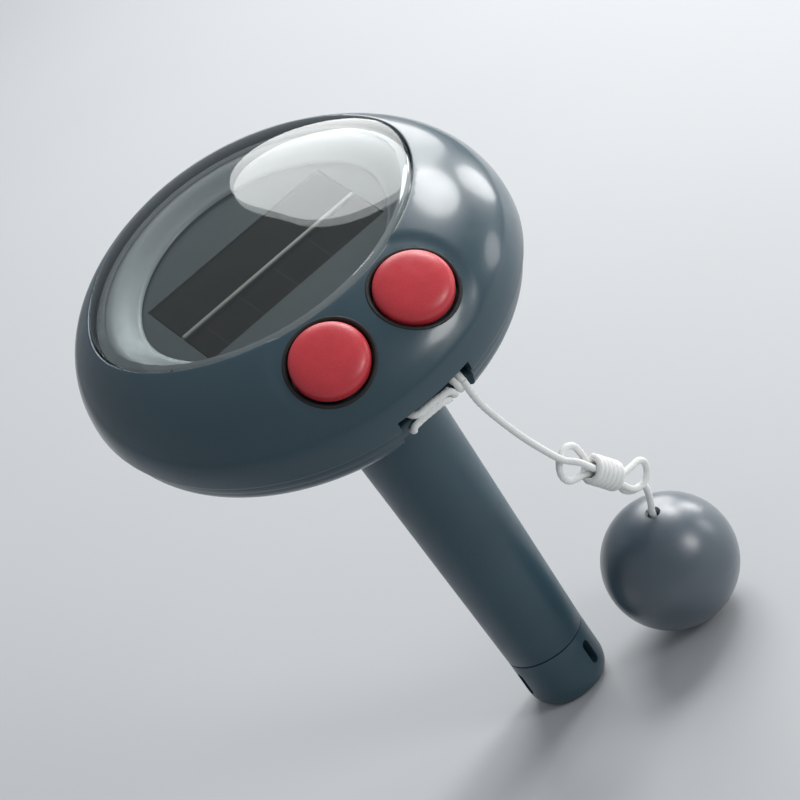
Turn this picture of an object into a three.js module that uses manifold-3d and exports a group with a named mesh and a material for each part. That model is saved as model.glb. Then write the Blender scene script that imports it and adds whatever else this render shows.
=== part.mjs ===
// Floating pool thermometer: a round, tilted display head on a ballasted probe stem, with a tether cord and
// ball. Millimetres, +Z up. The stem stands on its foot at the origin, the buttons face -Y.
import * as THREE from 'three';
import { mergeVertices } from 'three/addons/utils/BufferGeometryUtils.js';
import Module from 'manifold-3d';

// Driving dimensions
const GAP = 0.3;
const HEAD_RADIUS = 48;
const HEAD_TILT = THREE.MathUtils.degToRad(18);
const HEAD_BACK = 7;
const SEAM_HEIGHT = 106;
const DOME_HEIGHT = 21;
const DOME_POWER = 2.4;
const WALL = 2.4;
const BOWL_DEPTH = 13;
const BOWL_POWER = 2.2;
const BOWL_WALL = 2.2;
const LIP_RADIUS = 47;
const LIP_HEIGHT = 2.1;
const LIP_STEP = 0.4;
const FLANGE_RADIUS = 43;
const LENS_WINDOW = { far: 40.5, nearCentre: 12.8, nearRadius: 38.3 };
const PANEL_WINDOW = { far: 30.5, nearCentre: 11, nearRadius: 29.5 };
const LENS_THICKNESS = 1.8;
const PANEL_TOP = 9.2;
const PANEL_THICKNESS = 1.2;
const STRIP_LENGTH = 46;
const LCD = { depth: 12, centre: 11.6, thickness: 1.6 };
const SOLAR = { depth: 9.4, centre: -0.8, thickness: 1.2 };
const LENS_SEAT = { outer: 0.5, inner: 2.5, thickness: 0.6 };
const BEZEL = { outerEdge: 0.9, flange: 2.8, underFlange: 2, thickness: 1.4, overlap: 1.4 };
const BOARD = { radius: 36, bottom: 4, thickness: 1.6, frontEdge: -21 };
const CONTACTS = { halfLength: 20, front: 14.6, back: 16.8 };
const CELL = { radius: 10, bottom: 0.1, top: 3.3, centre: 21 };
const HOLDER = { radius: 12, bottom: -1.4, floor: -0.2, top: 3.7 };
const BUTTON_RADIUS = 8;
const BUTTON_ORBIT = 36.3;
const BUTTON_SPREAD = 17.6;
const BUTTON_LEAN = 21.5;
const BUTTON_TURN = 8;
const CAP_PROFILE = [
  [0, -6.1],
  [2.2, -6.1],
  [2.2, -2],
  [BUTTON_RADIUS, -2],
  [BUTTON_RADIUS, -0.2],
  [7.7, 0.5],
  [6.9, 1.1],
  [5.4, 1.55],
  [3, 1.85],
  [0, 1.95],
];
const BUTTON_SEAL = { inner: 2.5, outer: 4.8, bottom: -3.9, top: -3.4 };
const WELL = { radius: 8.4, wall: 0.8, floor: -4.2, underside: -5.4, bore: 2.7 };
const SWITCH = { half: 3, bottom: -11.4, top: -8, tip: -7.4, tipRadius: 1.6 };
const SWITCH_BOARD = { halfLength: 17, halfWidth: 4.5, top: -12.9, thickness: 1.2 };
const NOTCH_HALF_WIDTH = 9.2;
const NOTCH_BACK = -40.2;
const NOTCH_TOP = 2.8;
const POCKET = { upperHalfWidth: 11.6, lowerHalfWidth: 13.4, wall: 1.6, roof: 1.8 };
const BAR_RADIUS = 1.1;
const BAR_LENGTH = 22.8;
const BAR_Y = -43.6;
const BAR_Z = -2.2;
const SCREW_ORBIT = 41.5;
const SCREW_ANGLES = [28, 152, 212, 328];
const SCREW = { head: 2.3, shank: 1.1, bottom: -5.6, underHead: -3.8, tip: 6.2 };
const UPPER_BOSS = { radius: 2.9, bottom: 2.2, top: 10, bore: 1.4, boreTop: 7 };
const LOWER_BOSS = { radius: 3.4, bore: 1.4, headBore: 2.7, seat: -3.5 };
const GASKET = { inner: 43.2, outer: 45.1, top: 1.7, endAt: 13.8 };
const STEM_TOP = 102.2;
const STEM_TOP_RADIUS = 11.6;
const STEM_FOOT_RADIUS = 9.2;
const STEM_JOINT = 13;
const STEM_WALL = 1.8;
const COLLAR_TOP = 99;
const COLLAR_WALL = 2.2;
const STEM_SEAL = { outer: 13.6, top: 100.1 };
const STEM_NUT = { outer: 14.6, bottom: 100.4 };
const FOOT_PROFILE = [
  [0, 0],
  [6.8, 0],
  [7.9, 0.45],
  [8.7, 1.5],
  [9.1, 3],
  [STEM_FOOT_RADIUS, 5],
  [STEM_FOOT_RADIUS, STEM_JOINT],
];
const SPIGOT = { radius: 7.1, bore: 5.9, top: 19, floor: 2.6 };
const FOOT_SLOT = { halfWidth: 1.1, low: 5.6, high: 9.4, angles: [-60, 60, 180] };
const BALLAST = { inner: 1.6, outer: 7.1, bottom: 21, top: 57 };
const PROBE_SEAL = { inner: 1.1, outer: 5.6, bottom: 15.5, top: 18.5 };
const PROBE_PROFILE = [[0, 4], [1.5, 4.4], [2.3, 5.6], [2.3, 15.2], [0, 15.2]];
const CABLE_DIAMETER = 1.4;
const CABLE_ROUTE = [
  [0, 0, 15.5],
  [0, 0, 60],
  [0, 0, 88],
  [0, 1.4, 98],
  [0, 2.9, 105],
  [0, 3.2, 107.6],
];
const CORD_DIAMETER = 1.5;
const HITCH = { start: 3, end: 7.8, ease: 0.4, easeLength: 0.5 };
const BALL_RADIUS = 14.8;
const BALL_CENTRE = new THREE.Vector3(28.5, -14.5, BALL_RADIUS);
const HANK_TOP = new THREE.Vector3(16.8, -29.3, 58.8);
const HANK_BOTTOM = new THREE.Vector3(30.6, -20.6, 37);
const HANK_WIDTH = 9;
const HANK_DEPTH = 5.4;
const HANK_FACES = new THREE.Vector3(0.3, -1, 0);
const BALL_HOLE = { radius: 1.4, depth: 3.5 };
const UPPER_CORD = [
  [7.0, -35.94, 87.1],
  [7.3, -36.0, 84.0],
  [8.6, -35.4, 79.0],
  [10.9, -34.0, 72.0],
  [13.6, -32.0, 65.4],
  [16.62, -29.42, 59.1],
];
const LOWER_CORD = [
  [30.77, -20.5, 36.7],
  [31.0, -20.2, 34.7],
  [30.6, -19.4, 32.0],
  [30.0, -18.6, 29.7],
  [29.75, -18.1, 27.9],
];
const HEAD_SEGMENTS = 48;
const BEYOND = 60; // cutters reach this far, past every surface of the head

const FINISHES = {
  shell: { color: 0x32444e, roughness: 0.22, metalness: 0 },
  stem: { color: 0x374b58, roughness: 0.45, metalness: 0 },
  ball: { color: 0x46545e, roughness: 0.5, metalness: 0 },
  button: { color: 0xd6444e, roughness: 0.35, metalness: 0 },
  lens: { color: 0x9aa2a4, roughness: 0.05, metalness: 0 },
  bezel: { color: 0x9a9d9e, roughness: 0.35, metalness: 0.4 },
  panel: { color: 0x50585c, roughness: 0.4, metalness: 0 },
  glass: { color: 0x26282a, roughness: 0.1, metalness: 0 },
  board: { color: 0x1f5a3a, roughness: 0.5, metalness: 0 },
  rubber: { color: 0x1b1c1d, roughness: 0.8, metalness: 0 },
  steel: { color: 0xb8bcc0, roughness: 0.3, metalness: 1 },
  cord: { color: 0xf0f0ee, roughness: 0.9, metalness: 0 },
};

const wasm = await Module();
wasm.setup();

// Solids: a closed geometry becomes a solid, and a solid becomes a geometry again.
function solid(geometry) {
  const bare = geometry.clone();
  bare.deleteAttribute('normal');
  bare.deleteAttribute('uv');
  const merged = mergeVertices(bare, 1e-4);
  const index = merged.index.array;
  const kept = [];
  for (let i = 0; i < index.length; i += 3) {
    const [a, b, c] = [index[i], index[i + 1], index[i + 2]];
    if (a !== b && b !== c && c !== a) kept.push(a, b, c);
  }
  return new wasm.Manifold(new wasm.Mesh({
    numProp: 3,
    vertProperties: new Float32Array(merged.attributes.position.array),
    triVerts: new Uint32Array(kept),
  }));
}

function toGeometry(manifold) {
  const mesh = manifold.getMesh();
  const geometry = new THREE.BufferGeometry();
  geometry.setAttribute('position', new THREE.BufferAttribute(mesh.vertProperties, 3));
  geometry.setIndex(new THREE.BufferAttribute(mesh.triVerts, 1));
  geometry.computeVertexNormals();
  return geometry;
}

// A body of revolution about Z from [radius, height] pairs, listed from the bottom up the outside.
function lathe(profile, segments) {
  const points = profile.map(([radius, height]) => new THREE.Vector2(radius, height));
  return new THREE.LatheGeometry(points, segments).rotateX(Math.PI / 2);
}

// A ring of rectangular section about Z.
function ring(inner, outer, bottom, top, segments) {
  return lathe([[inner, bottom], [outer, bottom], [outer, top], [inner, top], [inner, bottom]], segments);
}

function rod(radius, bottom, top, segments) {
  return lathe([[0, bottom], [radius, bottom], [radius, top], [0, top]], segments);
}

function box(low, high) {
  const size = high.map((value, i) => value - low[i]);
  const centre = high.map((value, i) => (value + low[i]) / 2);
  return new THREE.BoxGeometry(...size).translate(...centre);
}

// A cord tube along a list of points.
function tube(points, diameter) {
  const curve = new THREE.CatmullRomCurve3(points.map((p) => new THREE.Vector3(...p)));
  const section = new THREE.Shape();
  const sides = 8;
  for (let i = 0; i < sides; i += 1) {
    const angle = (2 * Math.PI * i) / sides;
    const point = [(diameter / 2) * Math.cos(angle), (diameter / 2) * Math.sin(angle)];
    if (i === 0) section.moveTo(...point);
    else section.lineTo(...point);
  }
  section.closePath();
  const steps = Math.max(2, Math.ceil(curve.getLength() / (3 * diameter)));
  return new THREE.ExtrudeGeometry(section, { steps, extrudePath: curve, curveSegments: 1 });
}

// A closed ring lofted through several outlines, each a list of points, joined back to the first.
function loftRing(outlines) {
  const count = outlines[0].length;
  const positions = outlines.flat().flatMap((point) => point.toArray());
  const index = [];
  outlines.forEach((_, level) => {
    const here = level * count;
    const next = ((level + 1) % outlines.length) * count;
    for (let i = 0; i < count; i += 1) {
      const j = (i + 1) % count;
      index.push(here + i, here + j, next + j, here + i, next + j, next + i);
    }
  });
  const geometry = new THREE.BufferGeometry();
  geometry.setAttribute('position', new THREE.Float32BufferAttribute(positions, 3));
  geometry.setIndex(index);
  return geometry;
}

// Head surfaces, in the head's own frame: seam plane at height 0, dome above, bowl below.
function domeHeight(radius, inset) {
  const share = 1 - (radius / (HEAD_RADIUS - inset)) ** DOME_POWER;
  return (DOME_HEIGHT - inset) * share ** (1 / DOME_POWER);
}

// Everything under the dome, or under a surface that is inset from it, down to a base height.
function dome(inset, base) {
  const steps = 8;
  const profile = [[0, base], [HEAD_RADIUS - inset, base]];
  for (let i = 1; i <= steps; i += 1) {
    const angle = (i / steps) * (Math.PI / 2);
    const radius = (HEAD_RADIUS - inset) * Math.max(Math.cos(angle), 0) ** (2 / DOME_POWER);
    const height = (DOME_HEIGHT - inset) * Math.sin(angle) ** (2 / DOME_POWER);
    profile.push([i === steps ? 0 : radius, height]);
  }
  return solid(lathe(profile, HEAD_SEGMENTS));
}

// The bowl's curve from its lowest point up to a small step, then an upright lip.
function bowl(radius, depth, lip, top) {
  const steps = 6;
  const profile = [];
  for (let i = 0; i <= steps; i += 1) {
    const angle = (1 - i / steps) * (Math.PI / 2);
    const reach = radius * Math.max(Math.cos(angle), 0) ** (2 / BOWL_POWER);
    const drop = (depth - lip) * Math.sin(angle) ** (2 / BOWL_POWER);
    profile.push([i === 0 ? 0 : reach, -lip - GAP - drop]);
  }
  profile.push([radius + LIP_STEP, -lip], [radius + LIP_STEP, top], [0, top]);
  return solid(lathe(profile, HEAD_SEGMENTS));
}

// The window's outline is where a far disc and a near disc meet, with its two corners eased.
function windowRadius(angle, window, inset) {
  const ease = 24;
  const across = window.nearCentre * Math.cos(angle);
  const near = window.nearCentre * Math.sin(angle) + Math.sqrt(window.nearRadius ** 2 - across ** 2);
  return (window.far ** -ease + near ** -ease) ** (-1 / ease) - inset;
}

function windowPoints(window, inset, height) {
  const count = 44;
  return Array.from({ length: count }, (_, i) => {
    const angle = (2 * Math.PI * i) / count;
    const radius = windowRadius(angle, window, inset);
    return new THREE.Vector3(radius * Math.cos(angle), radius * Math.sin(angle), height(radius));
  });
}

function windowPrism(window, inset, bottom, top) {
  const shape = new THREE.Shape(windowPoints(window, inset, () => 0).map((p) => new THREE.Vector2(p.x, p.y)));
  const prism = new THREE.ExtrudeGeometry(shape, { depth: top - bottom, bevelEnabled: false });
  return solid(prism.translate(0, 0, bottom));
}

// Places
const head = new THREE.Group();
head.position.set(0, HEAD_BACK, SEAM_HEIGHT);
head.rotation.x = HEAD_TILT;
head.updateMatrixWorld(true);
const worldToHead = head.matrixWorld.clone().invert();
const thermometer = new THREE.Group();
thermometer.add(head);

function add(name, shape, finish, parent = thermometer) {
  const manifold = shape.isBufferGeometry ? solid(shape) : shape;
  const mesh = new THREE.Mesh(toGeometry(manifold), new THREE.MeshStandardMaterial(FINISHES[finish]));
  mesh.name = name;
  parent.add(mesh);
  return mesh;
}

// The frame of one button: its origin lies on the dome and its Z axis is the way the cap pops out.
function buttonPlace(side) {
  const orbit = THREE.MathUtils.degToRad(-90 + side * BUTTON_SPREAD);
  const turn = THREE.MathUtils.degToRad(-90 + side * BUTTON_TURN);
  const lean = THREE.MathUtils.degToRad(BUTTON_LEAN);
  const out = new THREE.Vector3(
    Math.sin(lean) * Math.cos(turn),
    Math.sin(lean) * Math.sin(turn),
    Math.cos(lean),
  );
  const turned = new THREE.Quaternion().setFromUnitVectors(new THREE.Vector3(0, 0, 1), out);
  const point = new THREE.Vector3(
    BUTTON_ORBIT * Math.cos(orbit),
    BUTTON_ORBIT * Math.sin(orbit),
    domeHeight(BUTTON_ORBIT, 0),
  );
  return new THREE.Matrix4().compose(point, turned, new THREE.Vector3(1, 1, 1));
}

const BUTTONS = [
  { name: 'left', place: buttonPlace(-1) },
  { name: 'right', place: buttonPlace(1) },
];

function screwPlaces() {
  return SCREW_ANGLES.map((degrees) => {
    const angle = THREE.MathUtils.degToRad(degrees);
    return [SCREW_ORBIT * Math.cos(angle), SCREW_ORBIT * Math.sin(angle)];
  });
}

// The notch opens to the front and below, past the head's own surfaces.
function notch() {
  return solid(box([-NOTCH_HALF_WIDTH, -BEYOND, -30], [NOTCH_HALF_WIDTH, NOTCH_BACK, NOTCH_TOP]));
}

// Head housing
function topShell() {
  const outside = dome(0, GAP / 2);
  let shell = outside.subtract(dome(WALL, -5));
  const pocketLow = [-POCKET.upperHalfWidth, -BEYOND, 0];
  const pocketHigh = [POCKET.upperHalfWidth, NOTCH_BACK + POCKET.wall, NOTCH_TOP + POCKET.roof];
  shell = shell.add(outside.intersect(solid(box(pocketLow, pocketHigh))));
  screwPlaces().forEach(([x, y]) => {
    const boss = rod(UPPER_BOSS.radius, UPPER_BOSS.bottom, UPPER_BOSS.top, 14);
    const bore = rod(UPPER_BOSS.bore, -2, UPPER_BOSS.boreTop, 10);
    shell = shell.add(outside.intersect(solid(boss.translate(x, y, 0))));
    shell = shell.subtract(solid(bore.translate(x, y, 0)));
  });
  BUTTONS.forEach(({ place }) => {
    const wall = rod(WELL.radius + WELL.wall, WELL.underside, 6, 28);
    shell = shell.add(outside.intersect(solid(wall.applyMatrix4(place))));
  });
  shell = shell.subtract(windowPrism(LENS_WINDOW, -GAP, -10, 40));
  BUTTONS.forEach(({ place }) => {
    shell = shell.subtract(solid(rod(WELL.radius, WELL.floor, 12, 32).applyMatrix4(place)));
    shell = shell.subtract(solid(rod(WELL.bore, -9, 2, 14).applyMatrix4(place)));
  });
  return shell.subtract(notch());
}

function bottomShell() {
  const outside = bowl(LIP_RADIUS - LIP_STEP, BOWL_DEPTH, LIP_HEIGHT, -GAP / 2);
  let shell = outside.subtract(bowl(FLANGE_RADIUS - LIP_STEP, BOWL_DEPTH - BOWL_WALL, LIP_HEIGHT, 5));
  const pocketLow = [-POCKET.lowerHalfWidth, -BEYOND, -20];
  const pocketHigh = [POCKET.lowerHalfWidth, NOTCH_BACK + POCKET.wall, 5];
  shell = shell.add(outside.intersect(solid(box(pocketLow, pocketHigh))));
  screwPlaces().forEach(([x, y]) => {
    const boss = solid(rod(LOWER_BOSS.radius, -20, 5, 14).translate(x, y, 0));
    shell = shell.add(outside.intersect(boss));
  });
  const stemBore = STEM_TOP_RADIUS + GAP;
  const collar = rod(stemBore + COLLAR_WALL, 80, COLLAR_TOP, 40).applyMatrix4(worldToHead);
  shell = shell.add(outside.intersect(solid(collar)));
  shell = shell.subtract(solid(rod(stemBore, 70, 120, 40).applyMatrix4(worldToHead)));
  screwPlaces().forEach(([x, y]) => {
    const headBore = rod(LOWER_BOSS.headBore, -20, LOWER_BOSS.seat, 12);
    const bore = rod(LOWER_BOSS.bore, -20, 5, 10);
    shell = shell.subtract(solid(headBore.translate(x, y, 0)));
    shell = shell.subtract(solid(bore.translate(x, y, 0)));
  });
  const halfHole = BAR_LENGTH / 2 + GAP;
  const barHole = rod(BAR_RADIUS + GAP, -halfHole, halfHole, 16).rotateY(Math.PI / 2);
  shell = shell.subtract(solid(barHole.translate(0, BAR_Y, BAR_Z)));
  return shell.subtract(notch());
}

function housing() {
  add('top_shell', topShell(), 'shell', head);
  add('bottom_shell', bottomShell(), 'shell', head);
  const besideNotch = solid(box([-GASKET.endAt, -BEYOND, -5], [GASKET.endAt, 0, 5]));
  const gasket = solid(ring(GASKET.inner, GASKET.outer, GAP / 2, GASKET.top, HEAD_SEGMENTS));
  add('shell_gasket', gasket.subtract(besideNotch), 'rubber', head);
  const profile = [
    [0, SCREW.bottom],
    [SCREW.head, SCREW.bottom],
    [SCREW.head, SCREW.underHead],
    [SCREW.shank, SCREW.underHead],
    [SCREW.shank, SCREW.tip],
    [0, SCREW.tip],
  ];
  screwPlaces().forEach(([x, y], i) => {
    add(`case_screw_${i + 1}`, lathe(profile, 16).translate(x, y, 0), 'steel', head);
  });
}

// Lens, bezel and display
function display() {
  const skin = dome(-GAP, 0).subtract(dome(LENS_THICKNESS, -5));
  add('lens', skin.intersect(windowPrism(LENS_WINDOW, 0, -10, 40)), 'lens', head);
  const seatTop = LENS_THICKNESS + GAP;
  const layer = dome(seatTop, 0).subtract(dome(seatTop + LENS_SEAT.thickness, -5));
  const seatOutline = windowPrism(LENS_WINDOW, LENS_SEAT.outer, -10, 40);
  const seat = seatOutline.subtract(windowPrism(LENS_WINDOW, LENS_SEAT.inner, -20, 50));
  add('lens_gasket', layer.intersect(seat), 'rubber', head);
  const flangeInset = seatTop + LENS_SEAT.thickness + GAP;
  const top = (radius) => domeHeight(radius, flangeInset);
  const under = (radius) => domeHeight(radius, flangeInset + BEZEL.thickness);
  const lip = PANEL_TOP + GAP;
  add('inner_bezel', loftRing([
    windowPoints(LENS_WINDOW, BEZEL.outerEdge, top),
    windowPoints(LENS_WINDOW, BEZEL.flange, top),
    windowPoints(PANEL_WINDOW, 0, () => lip),
    windowPoints(PANEL_WINDOW, -BEZEL.overlap, () => lip),
    windowPoints(LENS_WINDOW, BEZEL.underFlange, under),
    windowPoints(LENS_WINDOW, BEZEL.outerEdge, under),
  ]), 'bezel', head);
  const half = STRIP_LENGTH / 2;
  let panel = windowPrism(PANEL_WINDOW, -BEZEL.overlap, PANEL_TOP - PANEL_THICKNESS, PANEL_TOP);
  [['lcd_display', LCD], ['solar_cell', SOLAR]].forEach(([name, strip]) => {
    const low = [-half, strip.centre - strip.depth / 2, PANEL_TOP - GAP - strip.thickness];
    const high = [half, strip.centre + strip.depth / 2, PANEL_TOP - GAP];
    const opening = box([low[0] - GAP, low[1] - GAP, 0], [high[0] + GAP, high[1] + GAP, 20]);
    panel = panel.subtract(solid(opening));
    add(name, box(low, high), 'glass', head);
  });
  add('display_panel', panel, 'panel', head);
}

// Electronics in the head
function electronics() {
  const boardTop = BOARD.bottom + BOARD.thickness;
  const disc = solid(rod(BOARD.radius, BOARD.bottom, boardTop, HEAD_SEGMENTS));
  const frontCut = solid(box([-40, -40, 0], [40, BOARD.frontEdge, 10]));
  add('circuit_board', disc.subtract(frontCut), 'board', head);
  const contactLow = [-CONTACTS.halfLength, CONTACTS.front, boardTop + GAP];
  const contactHigh = [CONTACTS.halfLength, CONTACTS.back, PANEL_TOP - GAP - LCD.thickness - GAP];
  add('display_connector', box(contactLow, contactHigh), 'rubber', head);
  const cell = rod(CELL.radius, CELL.bottom, CELL.top, 32).translate(0, CELL.centre, 0);
  add('battery_cell', cell, 'steel', head);
  const cup = lathe([
    [0, HOLDER.bottom],
    [HOLDER.radius, HOLDER.bottom],
    [HOLDER.radius, HOLDER.top],
    [CELL.radius + GAP, HOLDER.top],
    [CELL.radius + GAP, HOLDER.floor],
    [0, HOLDER.floor],
  ], 32);
  add('battery_holder', cup.translate(0, CELL.centre, 0), 'rubber', head);
  const { half, tipRadius } = SWITCH;
  BUTTONS.forEach(({ name, place }) => {
    const body = box([-half, -half, SWITCH.bottom], [half, half, SWITCH.top]);
    const actuator = rod(tipRadius, SWITCH.top - 0.5, SWITCH.tip, 16);
    add(`switch_${name}`, solid(body).add(solid(actuator)).transform(place.elements), 'steel', head);
  });
  const { halfLength, halfWidth, top, thickness } = SWITCH_BOARD;
  const board = box([-halfLength, -halfWidth, top - thickness], [halfLength, halfWidth, top]);
  add('switch_board', board.applyMatrix4(buttonPlace(0)), 'board', head);
}

// Buttons: a pillow cap with a plunger, and its seal on the floor of the well.
function buttons() {
  BUTTONS.forEach(({ name, place }) => {
    add(`button_${name}`, lathe(CAP_PROFILE, 28).applyMatrix4(place), 'button', head);
    const seal = ring(BUTTON_SEAL.inner, BUTTON_SEAL.outer, BUTTON_SEAL.bottom, BUTTON_SEAL.top, 20);
    add(`button_seal_${name}`, seal.applyMatrix4(place), 'rubber', head);
  });
}

// Stem
function stemRadius(height) {
  const share = (height - STEM_JOINT) / (COLLAR_TOP - STEM_JOINT);
  return STEM_FOOT_RADIUS + (STEM_TOP_RADIUS - STEM_FOOT_RADIUS) * Math.min(share, 1);
}

function stem() {
  const base = STEM_JOINT + GAP;
  const inner = stemRadius(base) - STEM_WALL;
  add('stem_tube', lathe([
    [inner, base],
    [stemRadius(base), base],
    [STEM_TOP_RADIUS, COLLAR_TOP],
    [STEM_TOP_RADIUS, STEM_TOP],
    [STEM_TOP_RADIUS - STEM_WALL, STEM_TOP],
    [inner, base],
  ], 40), 'stem');
  const around = STEM_TOP_RADIUS + GAP;
  add('stem_seal', ring(around, STEM_SEAL.outer, COLLAR_TOP + GAP, STEM_SEAL.top, 40), 'rubber');
  add('stem_nut', ring(around, STEM_NUT.outer, STEM_NUT.bottom, STEM_TOP, 40), 'stem');
  add('stem_cap', stemCap(), 'stem');
  add('ballast_weight', ring(BALLAST.inner, BALLAST.outer, BALLAST.bottom, BALLAST.top, 32), 'steel');
  const seal = ring(PROBE_SEAL.inner, PROBE_SEAL.outer, PROBE_SEAL.bottom, PROBE_SEAL.top, 24);
  add('probe_seal', seal, 'rubber');
  add('sensor_probe', lathe(PROBE_PROFILE, 20), 'steel');
  add('sensor_cable', tube(CABLE_ROUTE, CABLE_DIAMETER), 'rubber');
}

// The rounded foot that closes the stem: a spigot above, and upright slots that let water reach the probe.
function stemCap() {
  let cap = solid(lathe([
    ...FOOT_PROFILE,
    [SPIGOT.radius, STEM_JOINT],
    [SPIGOT.radius, SPIGOT.top],
    [SPIGOT.bore, SPIGOT.top],
    [SPIGOT.bore, SPIGOT.floor],
    [0, SPIGOT.floor],
  ], 28));
  const slot = new THREE.Shape();
  slot.absarc(0, FOOT_SLOT.low, FOOT_SLOT.halfWidth, Math.PI, 0, false);
  slot.absarc(0, FOOT_SLOT.high, FOOT_SLOT.halfWidth, 0, Math.PI, false);
  FOOT_SLOT.angles.forEach((degrees) => {
    const cutter = new THREE.ExtrudeGeometry(slot, { depth: 8, bevelEnabled: false, curveSegments: 4 });
    cutter.rotateX(Math.PI / 2).translate(0, -3.5, 0);
    cap = cap.subtract(solid(cutter.rotateZ(THREE.MathUtils.degToRad(degrees + 90))));
  });
  return cap;
}

// Tether: a bar across the notch, the cord's hitch on it, the hank and the ball.
function tether() {
  const bar = rod(BAR_RADIUS, -BAR_LENGTH / 2, BAR_LENGTH / 2, 16).rotateY(Math.PI / 2);
  add('tether_bar', bar.translate(0, BAR_Y, BAR_Z), 'shell', head);
  add('tether_hitch', hitch(), 'cord', head);
  add('tether_cord_upper', tube(UPPER_CORD, CORD_DIAMETER), 'cord');
  add('tether_hank', hank(), 'cord');
  add('tether_cord_lower', tube(LOWER_CORD, CORD_DIAMETER), 'cord');
  add('tether_ball', ball(), 'ball');
}

// A ring round the bar, with eased ends, that holds the space of the cord's turns.
function hitch() {
  const inner = BAR_RADIUS + GAP;
  const outer = inner + CORD_DIAMETER;
  const { start, end, ease, easeLength } = HITCH;
  const turns = lathe([
    [inner, start],
    [outer - ease, start],
    [outer, start + easeLength],
    [outer, end - easeLength],
    [outer - ease, end],
    [inner, end],
    [inner, start],
  ], 20);
  return turns.rotateY(Math.PI / 2).translate(0, BAR_Y, BAR_Z);
}

// The hank's outer shape: a flat bar with round ends, along the line from its top to its bottom.
function hank() {
  const along = HANK_BOTTOM.clone().sub(HANK_TOP);
  const straight = along.length() / 2 - HANK_WIDTH / 2;
  const outline = new THREE.Shape();
  outline.absarc(straight, 0, HANK_WIDTH / 2, -Math.PI / 2, Math.PI / 2, false);
  outline.absarc(-straight, 0, HANK_WIDTH / 2, Math.PI / 2, 1.5 * Math.PI, false);
  const settings = { depth: HANK_DEPTH, bevelEnabled: false, curveSegments: 10 };
  const bar = new THREE.ExtrudeGeometry(outline, settings).translate(0, 0, -HANK_DEPTH / 2);
  const run = along.normalize();
  const face = HANK_FACES.clone().addScaledVector(run, -HANK_FACES.dot(run)).normalize();
  const basis = new THREE.Matrix4().makeBasis(run, face.clone().cross(run), face);
  const centre = HANK_TOP.clone().add(HANK_BOTTOM).multiplyScalar(0.5);
  return bar.applyMatrix4(basis).translate(...centre);
}

// The ball, with a blind hole that the cord goes into.
function ball() {
  const sphere = new THREE.SphereGeometry(BALL_RADIUS, 24, 16).rotateX(Math.PI / 2);
  const mouth = new THREE.Vector3(...LOWER_CORD[3]).sub(BALL_CENTRE).normalize();
  const turned = new THREE.Quaternion().setFromUnitVectors(new THREE.Vector3(0, 0, 1), mouth);
  const hole = rod(BALL_HOLE.radius, BALL_RADIUS - BALL_HOLE.depth, BALL_RADIUS + 5, 16);
  const placed = hole.applyQuaternion(turned).translate(...BALL_CENTRE);
  return solid(sphere.translate(...BALL_CENTRE)).subtract(solid(placed));
}

housing();
display();
electronics();
buttons();
stem();
tether();

export default thermometer;
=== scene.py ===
"""Looks of the floating pool thermometer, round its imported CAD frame. Metres, +Z up, buttons towards -Y."""
import math

import bmesh
import bpy
import numpy as np
from mathutils import Matrix, Vector
from mathutils.geometry import delaunay_2d_cdt


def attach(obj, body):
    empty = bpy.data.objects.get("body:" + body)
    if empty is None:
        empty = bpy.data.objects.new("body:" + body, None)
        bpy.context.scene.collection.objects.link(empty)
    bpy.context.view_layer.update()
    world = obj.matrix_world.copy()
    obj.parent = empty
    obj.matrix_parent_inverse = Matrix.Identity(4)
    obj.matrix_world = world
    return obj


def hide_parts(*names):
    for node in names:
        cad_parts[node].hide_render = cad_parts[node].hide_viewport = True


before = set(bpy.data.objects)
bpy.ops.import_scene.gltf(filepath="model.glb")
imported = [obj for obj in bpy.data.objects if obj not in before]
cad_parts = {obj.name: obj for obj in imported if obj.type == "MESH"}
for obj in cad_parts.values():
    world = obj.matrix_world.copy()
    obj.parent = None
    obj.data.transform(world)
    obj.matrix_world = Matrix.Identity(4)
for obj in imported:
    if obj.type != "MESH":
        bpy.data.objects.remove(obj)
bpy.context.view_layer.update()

# Driving dimensions, the same as the CAD model's
MM = 0.001
GAP = 0.3 * MM
SEAM = GAP / 2  # how far each shell stands off the plane where they meet
HEAD_RADIUS = 48 * MM
HEAD_TILT = math.radians(18)
HEAD_CENTRE = np.array([0, 7, 106]) * MM
DOME_HEIGHT = 21 * MM
DOME_POWER = 2.4
WALL = 2.4 * MM
BOWL_DEPTH = 13 * MM
BOWL_POWER = 2.2
BOWL_WALL = 2.2 * MM
LIP_RADIUS = 47 * MM
LIP_HEIGHT = 2.1 * MM
FLANGE_RADIUS = 43 * MM
LENS_WINDOW = {"far": 40.5 * MM, "near_centre": 12.8 * MM, "near_radius": 38.3 * MM}
PANEL_WINDOW = {"far": 30.5 * MM, "near_centre": 11 * MM, "near_radius": 29.5 * MM}
LENS_THICKNESS = 1.8 * MM
PANEL_TOP = 9.2 * MM
STRIP_LENGTH = 46 * MM
STRIP_GAP_CENTRE = 4.75 * MM
BUTTON_ORBIT = 36.3 * MM
BUTTON_SPREAD = 17.6
BUTTON_LEAN = 21.5
BUTTON_TURN = 8
WELL_RADIUS = 8.4 * MM
WELL_WALL = 0.8 * MM
WELL_DEPTH = 4.2 * MM
WELL_FLOOR = 1.2 * MM
WELL_BORE = 2.7 * MM
NOTCH_HALF_WIDTH = 9.2 * MM
NOTCH_BACK = -40.2 * MM
NOTCH_TOP = 2.8 * MM
BAR_RADIUS = 1.1 * MM
BAR_LENGTH = 22.8 * MM
BAR_CENTRE = np.array([0, -43.6, -2.2]) * MM
SCREW_ORBIT = 41.5 * MM
SCREW_ANGLES = (28, 152, 212, 328)
STEM_TOP = 102.2 * MM
STEM_TOP_RADIUS = 11.6 * MM
STEM_FOOT_RADIUS = 9.2 * MM
STEM_JOINT = 13 * MM
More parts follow.
